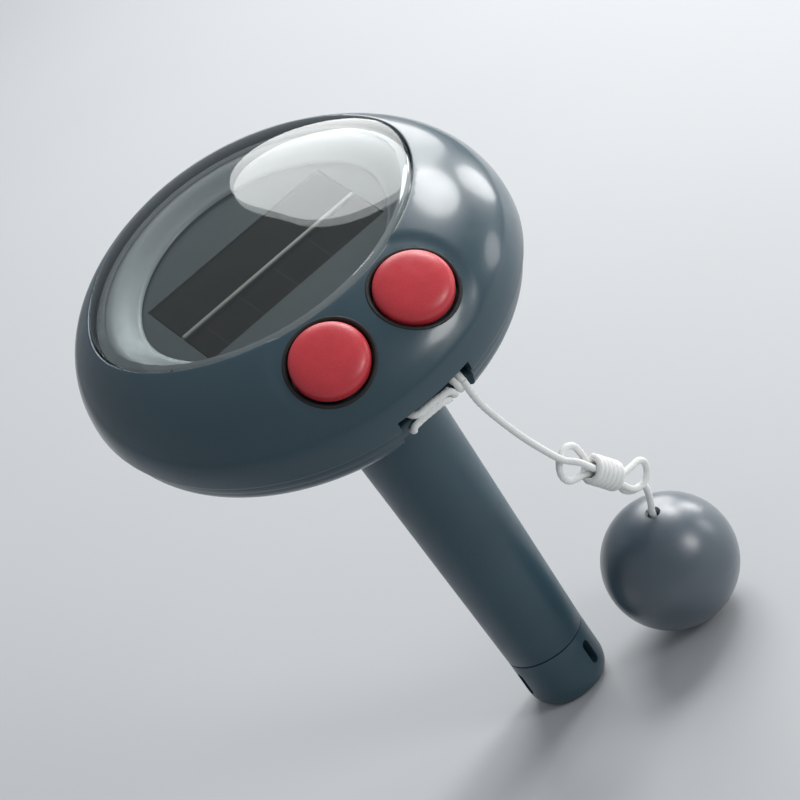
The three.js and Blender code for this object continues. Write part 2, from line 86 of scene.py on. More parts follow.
STEM_WALL = 1.8 * MM
STEM_EASE = 0.12 * MM
SLOT = {"half_width": 1.1 * MM, "low": 5.6 * MM, "high": 9.4 * MM, "angles": (-60, 60, 180)}
COLLAR_TOP = 99 * MM
COLLAR_WALL = 2.2 * MM
CORD_DIAMETER = 1.5 * MM
BALL_RADIUS = 14.8 * MM
BALL_HOLE_RADIUS = 1.15 * MM
BALL_CENTRE = np.array([28.5, -14.5, 14.8]) * MM
HANK_TOP = np.array([16.8, -29.3, 58.8]) * MM
HANK_BOTTOM = np.array([30.6, -20.6, 37]) * MM
UPPER_CORD = np.array([
    [7.0, -35.94, 87.1], [7.3, -36.0, 84.0], [8.6, -35.4, 79.0],
    [10.9, -34.0, 72.0], [13.6, -32.0, 65.4], [16.62, -29.42, 59.1],
]) * MM
LOWER_CORD = np.array([
    [30.77, -20.5, 36.7], [31.0, -20.2, 34.7], [30.6, -19.4, 32.0], [30.0, -18.6, 29.7], [29.75, -18.1, 27.9],
]) * MM

# The view: where the camera stands, how far it is rolled, and the middle of what it sees
VIEW_AZIMUTH = math.radians(-14.8)
VIEW_ELEVATION = math.radians(25.8)
VIEW_ROLL = math.radians(-34.9)
VIEW_DISTANCE = 0.6
VIEW_TARGET = Vector((5.1, 4.2, 76.2)) * MM
VIEW_LENS = 131

TURN = 2 * math.pi
FINE = 192  # segments round a large turned shape


# Mesh helpers
def around(radius, angle, height):
    """Points at angles round Z; the radius and the height are numbers or arrays."""
    level = height * np.ones(len(angle))
    return np.stack([radius * np.cos(angle), radius * np.sin(angle), level], axis=1)


def full_turn(count):
    return TURN * np.arange(count) / count


def mesh_object(name, points, faces, material, sharp=40):
    mesh = bpy.data.meshes.new(name)
    mesh.from_pydata([tuple(p) for p in points], [], [tuple(f) for f in faces])
    mesh.validate()
    made = bpy.data.objects.new(name, mesh)
    bpy.context.scene.collection.objects.link(made)
    finish_mesh(made, material, sharp)
    return made


def finish_mesh(made, material, sharp=40):
    """Faces out, smooth with sharp edges past an angle, one material."""
    shape = bmesh.new()
    shape.from_mesh(made.data)
    bmesh.ops.remove_doubles(shape, verts=shape.verts, dist=1e-7)
    bmesh.ops.recalc_face_normals(shape, faces=shape.faces)
    shape.to_mesh(made.data)
    shape.free()
    made.data.polygons.foreach_set("use_smooth", [True] * len(made.data.polygons))
    made.data.set_sharp_from_angle(angle=math.radians(sharp))
    made.data.materials.clear()
    made.data.materials.append(material)
    made.data.update()


def to_world(points):
    """Points of the tilted head's own frame in the row frame."""
    c, s = math.cos(HEAD_TILT), math.sin(HEAD_TILT)
    turn = np.array([[1, 0, 0], [0, c, -s], [0, s, c]])
    return np.asarray(points, float).reshape(-1, 3) @ turn.T + HEAD_CENTRE


def lathe(profile, segments, closed=False):
    """Points and faces of a body of revolution about Z from (radius, height) pairs."""
    points, rows = [], []
    for radius, height in profile:
        if radius < 1e-9:
            rows.append([len(points)] * segments)
            points.append((0.0, 0.0, height))
            continue
        rows.append(list(range(len(points), len(points) + segments)))
        points += around(radius, full_turn(segments), height).tolist()
    if closed:
        rows.append(rows[0])
    return np.array(points), strip_faces(rows)


def strip_faces(rows, wrap=True):
    """Faces between neighbouring rows of vertex numbers."""
    faces = []
    for low, high in zip(rows, rows[1:]):
        count = len(low)
        for i in range(count if wrap else count - 1):
            j = (i + 1) % count
            face = [low[i], low[j], high[j], high[i]]
            kept = [v for k, v in enumerate(face) if v != face[k - 1]]
            if len(set(kept)) >= 3:
                faces.append(kept)
    return faces


def loft(loops, closed=True):
    """Points and faces of a ring lofted through loops, each an array of points."""
    count = len(loops[0])
    rows = [list(range(k * count, (k + 1) * count)) for k in range(len(loops))]
    if closed:
        rows.append(rows[0])
    return np.vstack(loops), strip_faces(rows)


def turned(points, direction, centre):
    """Points turned so that +Z lies along a direction, then moved to a centre."""
    turn = np.array(Vector((0, 0, 1)).rotation_difference(Vector(direction)).to_matrix())
    return np.asarray(points) @ turn.T + centre


def box_mesh(low, high):
    x, y, z = zip(low, high)
    points = [(a, b, c) for c in z for b in y for a in x]
    faces = [(0, 2, 3, 1), (4, 5, 7, 6), (0, 1, 5, 4), (2, 6, 7, 3), (0, 4, 6, 2), (1, 3, 7, 5)]
    return np.array(points), faces


def boolean(made, points, faces, operation):
    """Cuts, joins or keeps the overlap of a piece and a closed shape, which is then thrown away."""
    tool = mesh_object("tool", points, faces, made.data.materials[0])
    cut = made.modifiers.new("cut", "BOOLEAN")
    cut.operation = operation
    cut.solver = "EXACT"
    cut.object = tool
    apply_modifiers(made)
    bpy.data.objects.remove(tool)


def apply_modifiers(made):
    solid = bpy.data.meshes.new_from_object(made.evaluated_get(bpy.context.evaluated_depsgraph_get()))
    made.modifiers.clear()
    made.data = solid


def bevel(made, width, segments=3, angle=30):
    edge = made.modifiers.new("edge", "BEVEL")
    edge.width = width
    edge.segments = segments
    edge.limit_method = "ANGLE"
    edge.angle_limit = math.radians(angle)
    edge.harden_normals = False


def place(made, slot, *nodes, body="housing"):
    """The piece rides on a body and stands for CAD nodes; slot is not used."""
    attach(made, body)
    if nodes:
        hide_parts(*nodes)
    return made


def spline(points, step):
    """Evenly spaced points on a smooth curve through the given ones."""
    points = np.asarray(points, float)
    ends = np.vstack([2 * points[0] - points[1], points, 2 * points[-1] - points[-2]])
    fine = []
    for a, b, c, d in zip(ends, ends[1:], ends[2:], ends[3:]):
        t = np.linspace(0, 1, 24, endpoint=False)[:, None]
        pull_1 = (c - a) / 2
        pull_2 = (d - b) / 2
        fine.append(
            (2 * t**3 - 3 * t**2 + 1) * b + (t**3 - 2 * t**2 + t) * pull_1
            + (3 * t**2 - 2 * t**3) * c + (t**3 - t**2) * pull_2
        )
    fine = np.vstack(fine + [points[-1:]])
    along = np.concatenate([[0], np.cumsum(np.linalg.norm(np.diff(fine, axis=0), axis=1))])
    wanted = np.linspace(0, along[-1], max(8, int(along[-1] / step)))
    return np.stack([np.interp(wanted, along, fine[:, k]) for k in range(3)], axis=1)


# Materials: colour, roughness and relief all vary over the surface
def linear(red, green, blue):
    """Scene colour of an sRGB colour given in 0 to 255."""
    shares = [c / 255 for c in (red, green, blue)]
    return tuple(((c + 0.055) / 1.055) ** 2.4 if c > 0.04 else c / 12.92 for c in shares)


class Finish:
    """A procedural material on one Principled shader."""

    def __init__(self, name, colour, roughness, metallic=0.0, coat=0.0, coat_roughness=0.05, specular=0.5):
        self.material = bpy.data.materials.new(name)
        self.material.use_nodes = True
        self.nodes = self.material.node_tree.nodes
        self.links = self.material.node_tree.links
        self.shader = self.nodes["Principled BSDF"]
        self.colour = colour
        self.shader.inputs["Base Color"].default_value = (*colour, 1)
        self.shader.inputs["Roughness"].default_value = roughness
        self.shader.inputs["Metallic"].default_value = metallic
        self.shader.inputs["Coat Weight"].default_value = coat
        self.shader.inputs["Coat Roughness"].default_value = coat_roughness
        self.shader.inputs["Specular IOR Level"].default_value = specular
        self.place = self.nodes.new("ShaderNodeTexCoord").outputs["Object"]
        self.height = None

    def stretch(self, scale):
        mapping = self.nodes.new("ShaderNodeMapping")
        mapping.inputs["Scale"].default_value = scale
        self.links.new(self.place, mapping.inputs["Vector"])
        self.place = mapping.outputs["Vector"]

    def noise(self, size, detail=3.0):
        """Cloudy noise with features of about that size in metres."""
        noise = self.nodes.new("ShaderNodeTexNoise")
        noise.inputs["Scale"].default_value = 1 / size
        noise.inputs["Detail"].default_value = detail
        self.links.new(self.place, noise.inputs["Vector"])
        return noise.outputs["Fac"]

    def cells(self, size):
        cells = self.nodes.new("ShaderNodeTexVoronoi")
        cells.inputs["Scale"].default_value = 1 / size
        self.links.new(self.place, cells.inputs["Vector"])
        return cells.outputs["Distance"]

    def stripes(self, size, axis, sharpness):
        """1 on lines across an axis and 0 between them; sharpness is the share that is line."""
        parts = self.nodes.new("ShaderNodeSeparateXYZ")
        self.links.new(self.place, parts.inputs["Vector"])
        wave = self.math("MULTIPLY", parts.outputs[axis], 1 / size)
        return self.math("LESS_THAN", self.math("FRACT", wave), sharpness)

    def math(self, operation, first, second=0.0):
        node = self.nodes.new("ShaderNodeMath")
        node.operation = operation
        for socket, value in zip(node.inputs, (first, second)):
            if isinstance(value, (int, float)):
                socket.default_value = value
            else:
                self.links.new(value, socket)
        return node.outputs[0]

    def ranged(self, value, low, high, start=0.3, end=0.7):
        node = self.nodes.new("ShaderNodeMapRange")
        self.links.new(value, node.inputs["Value"])
        node.inputs["From Min"].default_value = start
        node.inputs["From Max"].default_value = end
        node.inputs["To Min"].default_value = low
        node.inputs["To Max"].default_value = high
        return node.outputs[0]

    def tint(self, value, other, low=0.0, high=1.0):
        """Mixes another colour over what the base colour is so far."""
        mix = self.nodes.new("ShaderNodeMix")
        mix.data_type = "RGBA"
        self.links.new(self.ranged(value, low, high), mix.inputs[0])
        base = self.shader.inputs["Base Color"]
        if base.is_linked:
            self.links.new(base.links[0].from_socket, mix.inputs[6])
        else:
            mix.inputs[6].default_value = (*self.colour, 1)
        mix.inputs[7].default_value = (*other, 1)
        self.links.new(mix.outputs[2], base)

    def vary_roughness(self, value, low, high):
        self.links.new(self.ranged(value, low, high), self.shader.inputs["Roughness"])

    def relief(self, value, depth):
        """Adds a bump of about that depth in metres."""
        node = self.nodes.new("ShaderNodeBump")
        node.inputs["Strength"].default_value = 1.0
        node.inputs["Distance"].default_value = depth
        self.links.new(value, node.inputs["Height"])
        if self.height is not None:
            self.links.new(self.height, node.inputs["Normal"])
        self.height = node.outputs["Normal"]
        self.links.new(self.height, self.shader.inputs["Normal"])

    def wear(self, size, detail, low, high, grain, depth):
        """Patches of one size that range over two roughnesses, and a fine relief, in millimetres."""
        self.vary_roughness(self.noise(size * MM, detail), low, high)
        self.relief(self.noise(grain * MM), depth * MM)
        return self.material


def shaded(colour, factor):
    return tuple(c * factor for c in colour)


def cloudy_finish(name, colour, roughness, clouds, wear, **gloss):
    """A finish clouded with its own colour; each cloud has a size in millimetres, a shade and a share."""
    made = Finish(name, colour, roughness, **gloss)
    for size, shade, share in clouds:
        made.tint(made.noise(size * MM), shaded(colour, shade), 0, share)
    return made.wear(*wear)


def stem_finish():
    colour = linear(50, 75, 87)
    made = Finish("slate_satin", colour, 0.4, coat=0.25, coat_roughness=0.28)
    made.tint(made.noise(18 * MM), shaded(colour, 1.2), 0, 0.6)
    made.tint(made.noise(0.3 * MM), shaded(colour, 0.75), 0, 0.4)
    made.vary_roughness(made.noise(4 * MM, 5), 0.36, 0.48)
    made.relief(made.cells(0.35 * MM), 0.012 * MM)
    return made.material


def button_finish():
    colour = linear(206, 52, 62)
    made = Finish("button_coral", colour, 0.34)
    made.tint(made.noise(5 * MM), shaded(colour, 0.86), 0, 0.7)
    made.tint(made.noise(0.2 * MM), linear(226, 92, 98), 0, 0.3)
    return made.wear(2, 5, 0.28, 0.4, 0.25, 0.008)


def bezel_finish():
    colour = linear(166, 170, 172)
    made = Finish("silver_paint", colour, 0.42, metallic=0.3)
    made.tint(made.noise(14 * MM), shaded(colour, 0.85), 0, 0.6)
    made.tint(made.cells(0.16 * MM), linear(205, 208, 210), 0, 0.25)
    return made.wear(1.5, 4, 0.38, 0.5, 0.2, 0.002)


def display_finish():
    colour = linear(25, 27, 23)
    made = Finish("display_glass", colour, 0.3, specular=0.06)
    made.tint(made.noise(9 * MM), linear(36, 36, 29), 0, 0.8)
    made.tint(made.stripes(0.35 * MM, 0, 0.12), linear(34, 36, 31), 0, 0.6)
    return made.wear(2, 4, 0.34, 0.46, 1.2, 0.001)


def solar_finish():
    colour = linear(21, 21, 21)
    made = Finish("solar_glass", colour, 0.3, specular=0.06)
    made.tint(made.noise(7 * MM), linear(32, 28, 24), 0, 0.8)
    made.tint(made.stripes(9.2 * MM, 0, 0.035), linear(48, 48, 45), 0, 0.7)
    return made.wear(2, 4, 0.32, 0.44, 0.6, 0.001)


def lens_finish():
    """Clear smoky plastic: what is behind it shows tinted, and its edges mirror more than its middle."""
    material = bpy.data.materials.new("lens_clear")
    material.use_nodes = True
    nodes, links = material.node_tree.nodes, material.node_tree.links
    nodes.clear()
    output = nodes.new("ShaderNodeOutputMaterial")
    mix = nodes.new("ShaderNodeMixShader")
    see = nodes.new("ShaderNodeBsdfTransparent")
    see.inputs["Color"].default_value = (0.86, 0.88, 0.88, 1)
    gloss = nodes.new("ShaderNodeBsdfGlossy")
    gloss.inputs["Color"].default_value = (0.95, 0.96, 0.96, 1)
    facing = nodes.new("ShaderNodeLayerWeight")
    facing.inputs["Blend"].default_value = 0.5
    steep = nodes.new("ShaderNodeMath")
    steep.operation = "POWER"
    steep.inputs[1].default_value = 5
    share = nodes.new("ShaderNodeMapRange")
    share.inputs["To Min"].default_value = 0.05
    share.inputs["To Max"].default_value = 1.0
    links.new(facing.outputs["Facing"], steep.inputs[0])
    links.new(steep.outputs[0], share.inputs["Value"])
    place_out = nodes.new("ShaderNodeTexCoord").outputs["Object"]
    smear = nodes.new("ShaderNodeTexNoise")
    smear.inputs["Scale"].default_value = 1 / (8 * MM)
    smear.inputs["Detail"].default_value = 5
    links.new(place_out, smear.inputs["Vector"])
    rough = nodes.new("ShaderNodeMapRange")
    rough.inputs["To Min"].default_value = 0.01
    rough.inputs["To Max"].default_value = 0.04
    links.new(smear.outputs["Fac"], rough.inputs["Value"])
    links.new(rough.outputs[0], gloss.inputs["Roughness"])
    links.new(share.outputs[0], mix.inputs[0])
    links.new(see.outputs[0], mix.inputs[1])
    links.new(gloss.outputs[0], mix.inputs[2])
    links.new(mix.outputs[0], output.inputs["Surface"])
    return material


def board_finish():
    colour = linear(26, 84, 50)
    made = Finish("board_green", colour, 0.4, coat=0.3)
    made.tint(made.stripes(1.27 * MM, 0, 0.3), linear(40, 112, 66), 0, 0.8)
    made.tint(made.stripes(2.54 * MM, 1, 0.15), linear(150, 142, 84), 0, 0.7)
    made.vary_roughness(made.noise(2 * MM, 4), 0.3, 0.5)
    made.relief(made.stripes(1.27 * MM, 0, 0.3), 0.02 * MM)
    return made.material


def metal_finish(name, colour, roughness, grain):
    made = Finish(name, colour, roughness, metallic=1.0)
    made.stretch((1, 1, grain))
    made.tint(made.noise(2 * MM, 5), shaded(colour, 0.7), 0, 0.7)
    made.vary_roughness(made.noise(0.6 * MM, 6), roughness * 0.7, roughness * 1.4)
    made.relief(made.noise(0.25 * MM, 6), 0.006 * MM)
    return made.material


def cord_finish():
    colour = linear(250, 250, 248)
    made = Finish("cord_white", colour, 0.85)
    made.shader.inputs["Sheen Weight"].default_value = 0.35
    made.shader.inputs["Sheen Roughness"].default_value = 0.4
    made.tint(made.noise(4 * MM), linear(240, 240, 236), 0, 0.7)
    made.tint(made.noise(0.12 * MM, 4), linear(216, 217, 214), 0, 0.5)
    made.vary_roughness(made.noise(0.5 * MM, 4), 0.75, 0.95)
    made.relief(made.noise(0.09 * MM, 5), 0.03 * MM)
    return made.material


SHELL = cloudy_finish(
    "slate_gloss", linear(43, 69, 80), 0.34, [(22, 1.25, 0.6), (0.35, 0.8, 0.35)],
    (6, 5, 0.3, 0.4, 0.5, 0.002), coat=0.6, coat_roughness=0.14,
)
STEM = stem_finish()
BALL = cloudy_finish(
    "ball_satin", linear(66, 80, 91), 0.4, [(9, 1.2, 0.6), (0.25, 0.75, 0.35)],
    (3, 4, 0.36, 0.46, 0.3, 0.01), coat=0.9, coat_roughness=0.3, specular=0.8,
)
BUTTON = button_finish()
BEZEL = bezel_finish()
PANEL = cloudy_finish(
    "panel_grey", linear(66, 75, 78), 0.45, [(10, 0.82, 0.6), (0.15, 1.35, 0.35)],
    (1, 4, 0.4, 0.55, 0.18, 0.01),
)
DIVIDER = cloudy_finish(
    "divider_grey", linear(186, 184, 174), 0.38, [(4, 0.8, 0.6)], (1, 4, 0.32, 0.45, 0.2, 0.006)
)
DISPLAY = display_finish()
SOLAR = solar_finish()
LENS = lens_finish()
RUBBER = cloudy_finish("seal_rubber", linear(24, 25, 26), 0.6, [(3, 1.6, 0.7)], (1, 5, 0.5, 0.75, 0.2, 0.012))
SILICONE = cloudy_finish(
    "seal_silicone", linear(158, 162, 164), 0.5, [(5, 0.85, 0.6)], (1, 5, 0.42, 0.6, 0.2, 0.006)
)
BOARD = board_finish()
STEEL = metal_finish("steel", linear(186, 190, 194), 0.3, 8)
CELL = metal_finish("cell_steel", linear(200, 202, 204), 0.22, 1)
SWITCH = metal_finish("switch_metal", linear(176, 174, 168), 0.35, 3)
BRASS = metal_finish("probe_brass", linear(196, 164, 96), 0.28, 6)
CORD = cord_finish()


# Camera
def view_axes():
    """Right, up and back of the rolled view."""
    az, el, roll = VIEW_AZIMUTH, VIEW_ELEVATION, VIEW_ROLL
    back = Vector((math.sin(az) * math.cos(el), -math.cos(az) * math.cos(el), math.sin(el)))
    level = Vector((math.cos(az), math.sin(az), 0))
    high = back.cross(level)
    right = math.cos(roll) * level + math.sin(roll) * high
    up = -math.sin(roll) * level + math.cos(roll) * high
    return right, up, back


def make_camera():
    right, up, back = view_axes()
    data = bpy.data.cameras.new("camera")
    data.lens = VIEW_LENS
    data.clip_start = 0.01
    data.clip_end = 20
    camera = bpy.data.objects.new("camera", data)
    turn = Matrix((right, up, back)).transposed().to_4x4()
    camera.matrix_world = Matrix.Translation(VIEW_TARGET + back * VIEW_DISTANCE) @ turn
    bpy.context.scene.collection.objects.link(camera)
    bpy.context.scene.camera = camera


# Cord
STRANDS = 8
CORD_SIDES = 32
CORD_STEP = 0.3 * MM
CORD_LAY = 5 * MM
PLAIT_LOW = 0.93
PLAIT_RISE = 0.09


def cord_tube(name, path):
    """A round plaited cord: strands that wind both ways stand out of the surface by geometry."""
    path = np.asarray(path)
    forward = np.gradient(path, axis=0)
    forward /= np.linalg.norm(forward, axis=1)[:, None]
    along = np.concatenate([[0], np.cumsum(np.linalg.norm(np.diff(path, axis=0), axis=1))])
    side = np.cross(forward[0], (0.3, 0.2, 1.0))
    side /= np.linalg.norm(side)
    angles = full_turn(CORD_SIDES)
    loops = []
    for point, ahead, distance in zip(path, forward, along):
        side = side - ahead * (side @ ahead)
        side /= np.linalg.norm(side)
        other = np.cross(ahead, side)
        twist = TURN * distance / CORD_LAY
        left_lay = np.sin(STRANDS / 4 * (angles + twist))
        right_lay = np.sin(STRANDS / 4 * (angles - twist))
        radius = CORD_DIAMETER / 2 * (PLAIT_LOW + PLAIT_RISE * np.abs(left_lay) * np.abs(right_lay))
        reach = np.cos(angles)[:, None] * side + np.sin(angles)[:, None] * other
        loops.append(point + radius[:, None] * reach)
    rows = [list(range(k * CORD_SIDES, (k + 1) * CORD_SIDES)) for k in range(len(loops))]
    faces = strip_faces(rows) + [rows[0][::-1], rows[-1]]
    return mesh_object(name, np.vstack(loops), faces, CORD, sharp=60)


def hank_place():
    """Centre and directions of the hank: along it, across it and out of its face."""
    along = HANK_BOTTOM - HANK_TOP
    run = along / np.linalg.norm(along)
    face = np.array([0.3, -1, 0]) - run * (np.array([0.3, -1, 0]) @ run)
    face /= np.linalg.norm(face)
    return (HANK_TOP + HANK_BOTTOM) / 2, run, np.cross(face, run), face


# The hank's three runs with a fold at each end, from the entry at its top to the tail at its bottom,
# in millimetres along the hank, across it and out of its face
HANK_RUNS = [
    (-10.5, 0.2, 1.5), (-6.5, 0.1, 1.1), (-2, 0, 0.9), (2.2, 0.1, 0.9), (5.0, 0.7, 1.0), (7.4, 2.6, 1.2),
    (9.4, 4.3, 1.3), (11.4, 4.4, 1.3), (12.9, 3.0, 1.2), (13.1, 1.0, 1.0), (11.9, -0.9, 0.7),
    (9.6, -1.6, 0.3), (6.2, -1.1, -0.2), (2.5, -0.8, -0.5), (-2, -0.8, -0.5), (-5.0, -1.2, -0.6),
    (-7.4, -2.7, -0.8),
    (-9.8, -3.6, -1.0), (-12.2, -2.7, -1.1), (-13.3, 0.0, -1.2), (-12.2, 2.7, -1.1), (-9.8, 3.5, -1.0),
    (-7.4, 2.6, -0.8), (-5.0, 1.2, -0.6), (-2, 0.8, -0.5), (2.5, 0.7, -0.6), (6.2, 0.0, -1.2),
    (9.4, -1.9, -1.5), (12.2, -1.6, -1.1),
]
TIE_TURNS = 6
TIE_RADIUS = 2.4 * MM
TIE_PITCH = 0.98 * CORD_DIAMETER
TIE_POINTS = 14  # in each turn


def hank_points():
    centre, run, across, face = hank_place()
    return [centre + (a * run + b * across + c * face) * MM for a, b, c in HANK_RUNS]


def mouth_direction():
    """From the ball's centre to the hole where the cord goes in."""
    mouth = LOWER_CORD[3] - BALL_CENTRE
    return mouth / np.linalg.norm(mouth)


def make_tie():
    """Turns of the same cord round the hank's waist."""
    centre, run, across, face = hank_place()
    count = TIE_POINTS * TIE_TURNS
    half = TIE_TURNS * TIE_PITCH / 2
    path = []
    for i in range(count + 1):
        angle = TURN * i / TIE_POINTS
        shift = -half + 2 * half * i / count
        ring = 1.05 * math.cos(angle) * across + 0.95 * math.sin(angle) * face
        path.append(centre + shift * run + TIE_RADIUS * ring)
    return cord_tube("tether_tie", spline(path, CORD_STEP))


# The cord's way round the bar: millimetres along it and degrees round it
HITCH_ROUTE = [
    (7.0, 0), (7.0, 90), (6.7, 180), (6.3, 270), (5.6, 360), (5.2, 450), (5.0, 540), (4.6, 630), (3.8, 715),
    (1.0, 735), (-2.0, 742), (-4.6, 750), (-5.6, 810), (-5.9, 900), (-6.2, 990), (-6.3, 1050), (-4.5, 1062),
    (-1.5, 1060), (1.5, 1052), (3.2, 1020),
]
HITCH_CLEARANCE = 0.05 * MM
DEGREES_A_MM = 60  # brings the degrees to about the scale of the millimetres for the spline


def make_hitch():
    """The cord's turns on the bar: two tight ones beside the exit, and a bight laid along the bar."""
    bar = to_world([BAR_CENTRE])[0]
    reach = BAR_RADIUS + CORD_DIAMETER / 2 + HITCH_CLEARANCE
    path = []
    for x, turn, _ in spline([(x, degrees / DEGREES_A_MM, 0) for x, degrees in HITCH_ROUTE], 0.2):
        angle = math.radians(turn * DEGREES_A_MM)
        path.append(bar + np.array([x * MM, -reach * math.cos(angle), reach * math.sin(angle)]))
    return cord_tube("tether_hitch_turns", spline(path, CORD_STEP))


def make_cord():
    bar = to_world([BAR_CENTRE])[0]
    start = np.array([UPPER_CORD[0][0], UPPER_CORD[0][1], bar[2]])
    inside = BALL_CENTRE + mouth_direction() * (BALL_RADIUS - 2.8 * MM)
    path = spline([start, *UPPER_CORD, *hank_points(), *LOWER_CORD, inside], CORD_STEP)
    cord = cord_tube("tether_cord", path)
    place(cord, "cord_white", "tether_cord_upper", "tether_cord_lower", "tether_hank")
    hitch = place(make_hitch(), "cord_white", "tether_hitch")
    tie = place(make_tie(), "cord_white")
    ball = make_ball()


def make_ball():
    """A smooth ball, turned about the cord's hole, with a faint parting line."""
    hole_foot = BALL_RADIUS - 3.4 * MM
    hole_edge = BALL_RADIUS - 0.7 * MM
    groove_depth, groove_spread = 0.07 * MM, 0.012
    start = math.asin(BALL_HOLE_RADIUS / BALL_RADIUS) + 0.035
    profile = [(0, hole_foot), (BALL_HOLE_RADIUS, hole_foot), (BALL_HOLE_RADIUS, hole_edge)]
    rows = 72
    for i in range(rows + 1):
        angle = start + (math.pi - start) * i / rows
        groove = groove_depth * math.exp(-(((angle - math.pi / 2) / groove_spread) ** 2))
        radius = BALL_RADIUS - groove
        profile.append((radius * math.sin(angle) if i < rows else 0, radius * math.cos(angle)))
    points, faces = lathe(profile, 128)
    ball = mesh_object("float_ball", turned(points, mouth_direction(), BALL_CENTRE), faces, BALL)
    return place(ball, "ball_plastic", "tether_ball")


# Head surfaces, in the head's own frame
PAD_ORBIT = 34.9 * MM
PAD_REACH = 11.4 * MM
PAD_EDGE = 2.4 * MM
PAD_DROP = 0.4 * MM
PAD_FADE = 2 * MM


def dome_at(radius, inset=0.0):
    """Height of the dome, or of the surface that lies an inset inside it."""
    share = 1 - (np.minimum(radius, HEAD_RADIUS - inset) / (HEAD_RADIUS - inset)) ** DOME_POWER
    return (DOME_HEIGHT - inset) * np.maximum(share, 0) ** (1 / DOME_POWER)


def dome_inside(inset):
    """The surface an inset inside the dome, as a function of x and y."""
    def height(x, y):
        return dome_at(np.hypot(x, y), inset)
    return height


def level(height):
    """A flat surface, as a function of x and y."""
    def flat(x, y):
        return height
    return flat


def pad_drop(x, y):
    """How far the shallow pad round the buttons lies below the dome."""
    spread = math.radians(BUTTON_SPREAD)
    angle = np.clip(np.arctan2(x, -y), -spread, spread)
    away = np.hypot(x - PAD_ORBIT * np.sin(angle), y + PAD_ORBIT * np.cos(angle))
    t = np.clip((PAD_REACH - away) / PAD_EDGE + 0.5, 0, 1)
    return PAD_DROP * t * t * (3 - 2 * t)


def top_at(x, y):
    radius = np.hypot(x, y)
    return dome_at(radius) - pad_drop(x, y) * np.clip((HEAD_RADIUS - radius) / PAD_FADE, 0, 1)


WINDOW_POINTS = 288
WINDOW_EASE = 24  # the higher, the sharper the corners where a window's two arcs meet


def window_radius(angle, window, inset=0.0):
    across = window["near_centre"] * np.cos(angle)
    near = window["near_centre"] * np.sin(angle) + np.sqrt(window["near_radius"] ** 2 - across**2)
    scale = window["far"]
    return scale * (1 + (near / scale) ** -WINDOW_EASE) ** (-1 / WINDOW_EASE) - inset


def window_loop(window, inset, height):
    """A loop of points round a window; height is a function of x and y."""
    angle = full_turn(WINDOW_POINTS)
    loop = around(window_radius(angle, window, inset), angle, 0)
    loop[:, 2] = height(loop[:, 0], loop[:, 1])
    return loop


def in_window(x, y):
    return np.hypot(x, y) < window_radius(np.arctan2(y, x), LENS_WINDOW, -GAP)


class Well:
    """One button's place: origin on the dome, and the way its cap pops out."""

    def __init__(self, side):
        orbit = math.radians(-90 + side * BUTTON_SPREAD)
        turn = math.radians(-90 + side * BUTTON_TURN)
        lean = math.radians(BUTTON_LEAN)
        reach, rise = math.sin(lean), math.cos(lean)
        self.out = np.array([reach * math.cos(turn), reach * math.sin(turn), rise])
        x, y = BUTTON_ORBIT * math.cos(orbit), BUTTON_ORBIT * math.sin(orbit)
        self.origin = np.array([x, y, dome_at(BUTTON_ORBIT)])
        self.u = np.cross((0, 1, 0), self.out)
        self.u /= np.linalg.norm(self.u)
        self.v = np.cross(self.out, self.u)

    def flat(self, radius, height):
        """A circle about the well's axis, at a height above its origin."""
        angle = full_turn(WELL_POINTS)
        reach = np.cos(angle)[:, None] * self.u + np.sin(angle)[:, None] * self.v
        return self.origin + radius * reach + height * self.out

    def on(self, surface, radius, lift=0.0):
        """A circle about the well's axis, laid on a surface and lifted along the axis."""
        loop = self.flat(radius, 0.0)
        for _ in range(24):
            short = surface(loop[:, 0], loop[:, 1]) - loop[:, 2]
            loop = loop + (short / self.out[2])[:, None] * self.out * 0.8
        return loop + lift * self.out

    def near(self, x, y, radius, surface):
        """True where a surface's point lies within that radius of the axis."""
        point = np.stack([x, y, surface(x, y)], axis=1) - self.origin
        off = point - (point @ self.out)[:, None] * self.out
        return np.linalg.norm(off, axis=1) < radius


WELL_POINTS = 96
WELLS = {"left": Well(-1), "right": Well(1)}
EASE = np.array([0.0, 0.04, 0.12, 0.25, 0.42, 0.65]) * MM
EASE_RADIUS = EASE[-1]


def ease_drop(offset):
    """How far an eased edge lies below the surface at that distance from the edge."""
    return EASE_RADIUS - math.sqrt(max(EASE_RADIUS**2 - (EASE_RADIUS - offset) ** 2, 0))


def sheet_between(loops, rings, surface, keep, clear):
    """Triangles between closed loops that cover a surface given as height over x and y.

    Loops stay as they are. Points on rings are added where keep says so and no loop is within clear.
    """
    fixed = np.vstack(loops)
    edges, start = [], 0
    for loop in loops:
        count = len(loop)
        edges += [(start + i, start + (i + 1) % count) for i in range(count)]
        start += count
    grid = []
    for k, (radius, count) in enumerate(rings):
        angle = TURN * (np.arange(count) + 0.5 * (k % 2)) / count
        grid.append(around(radius, angle, 0)[:, :2])
    grid = np.vstack(grid)
    grid = grid[keep(grid[:, 0], grid[:, 1])]
    near = np.full(len(grid), np.inf)
    for part in np.array_split(fixed[:, :2], max(1, len(fixed) // 200)):
        near = np.minimum(near, np.linalg.norm(grid[:, None] - part[None], axis=2).min(axis=1))
    flat = np.vstack([fixed[:, :2], grid[near > clear]])
    in_mm = [Vector(point / MM) for point in flat]
    found, _, faces, _, _, _ = delaunay_2d_cdt(in_mm, edges, [], 0, 1e-6)
    flat = np.array([tuple(point) for point in found]) * MM
    height = surface(flat[:, 0], flat[:, 1])
    height[: len(fixed)] = fixed[:, 2]
    centres = np.array([flat[list(face)].mean(axis=0) for face in faces])
    inside = keep(centres[:, 0], centres[:, 1])
    return np.column_stack([flat, height]), [tuple(face) for face, good in zip(faces, inside) if good]


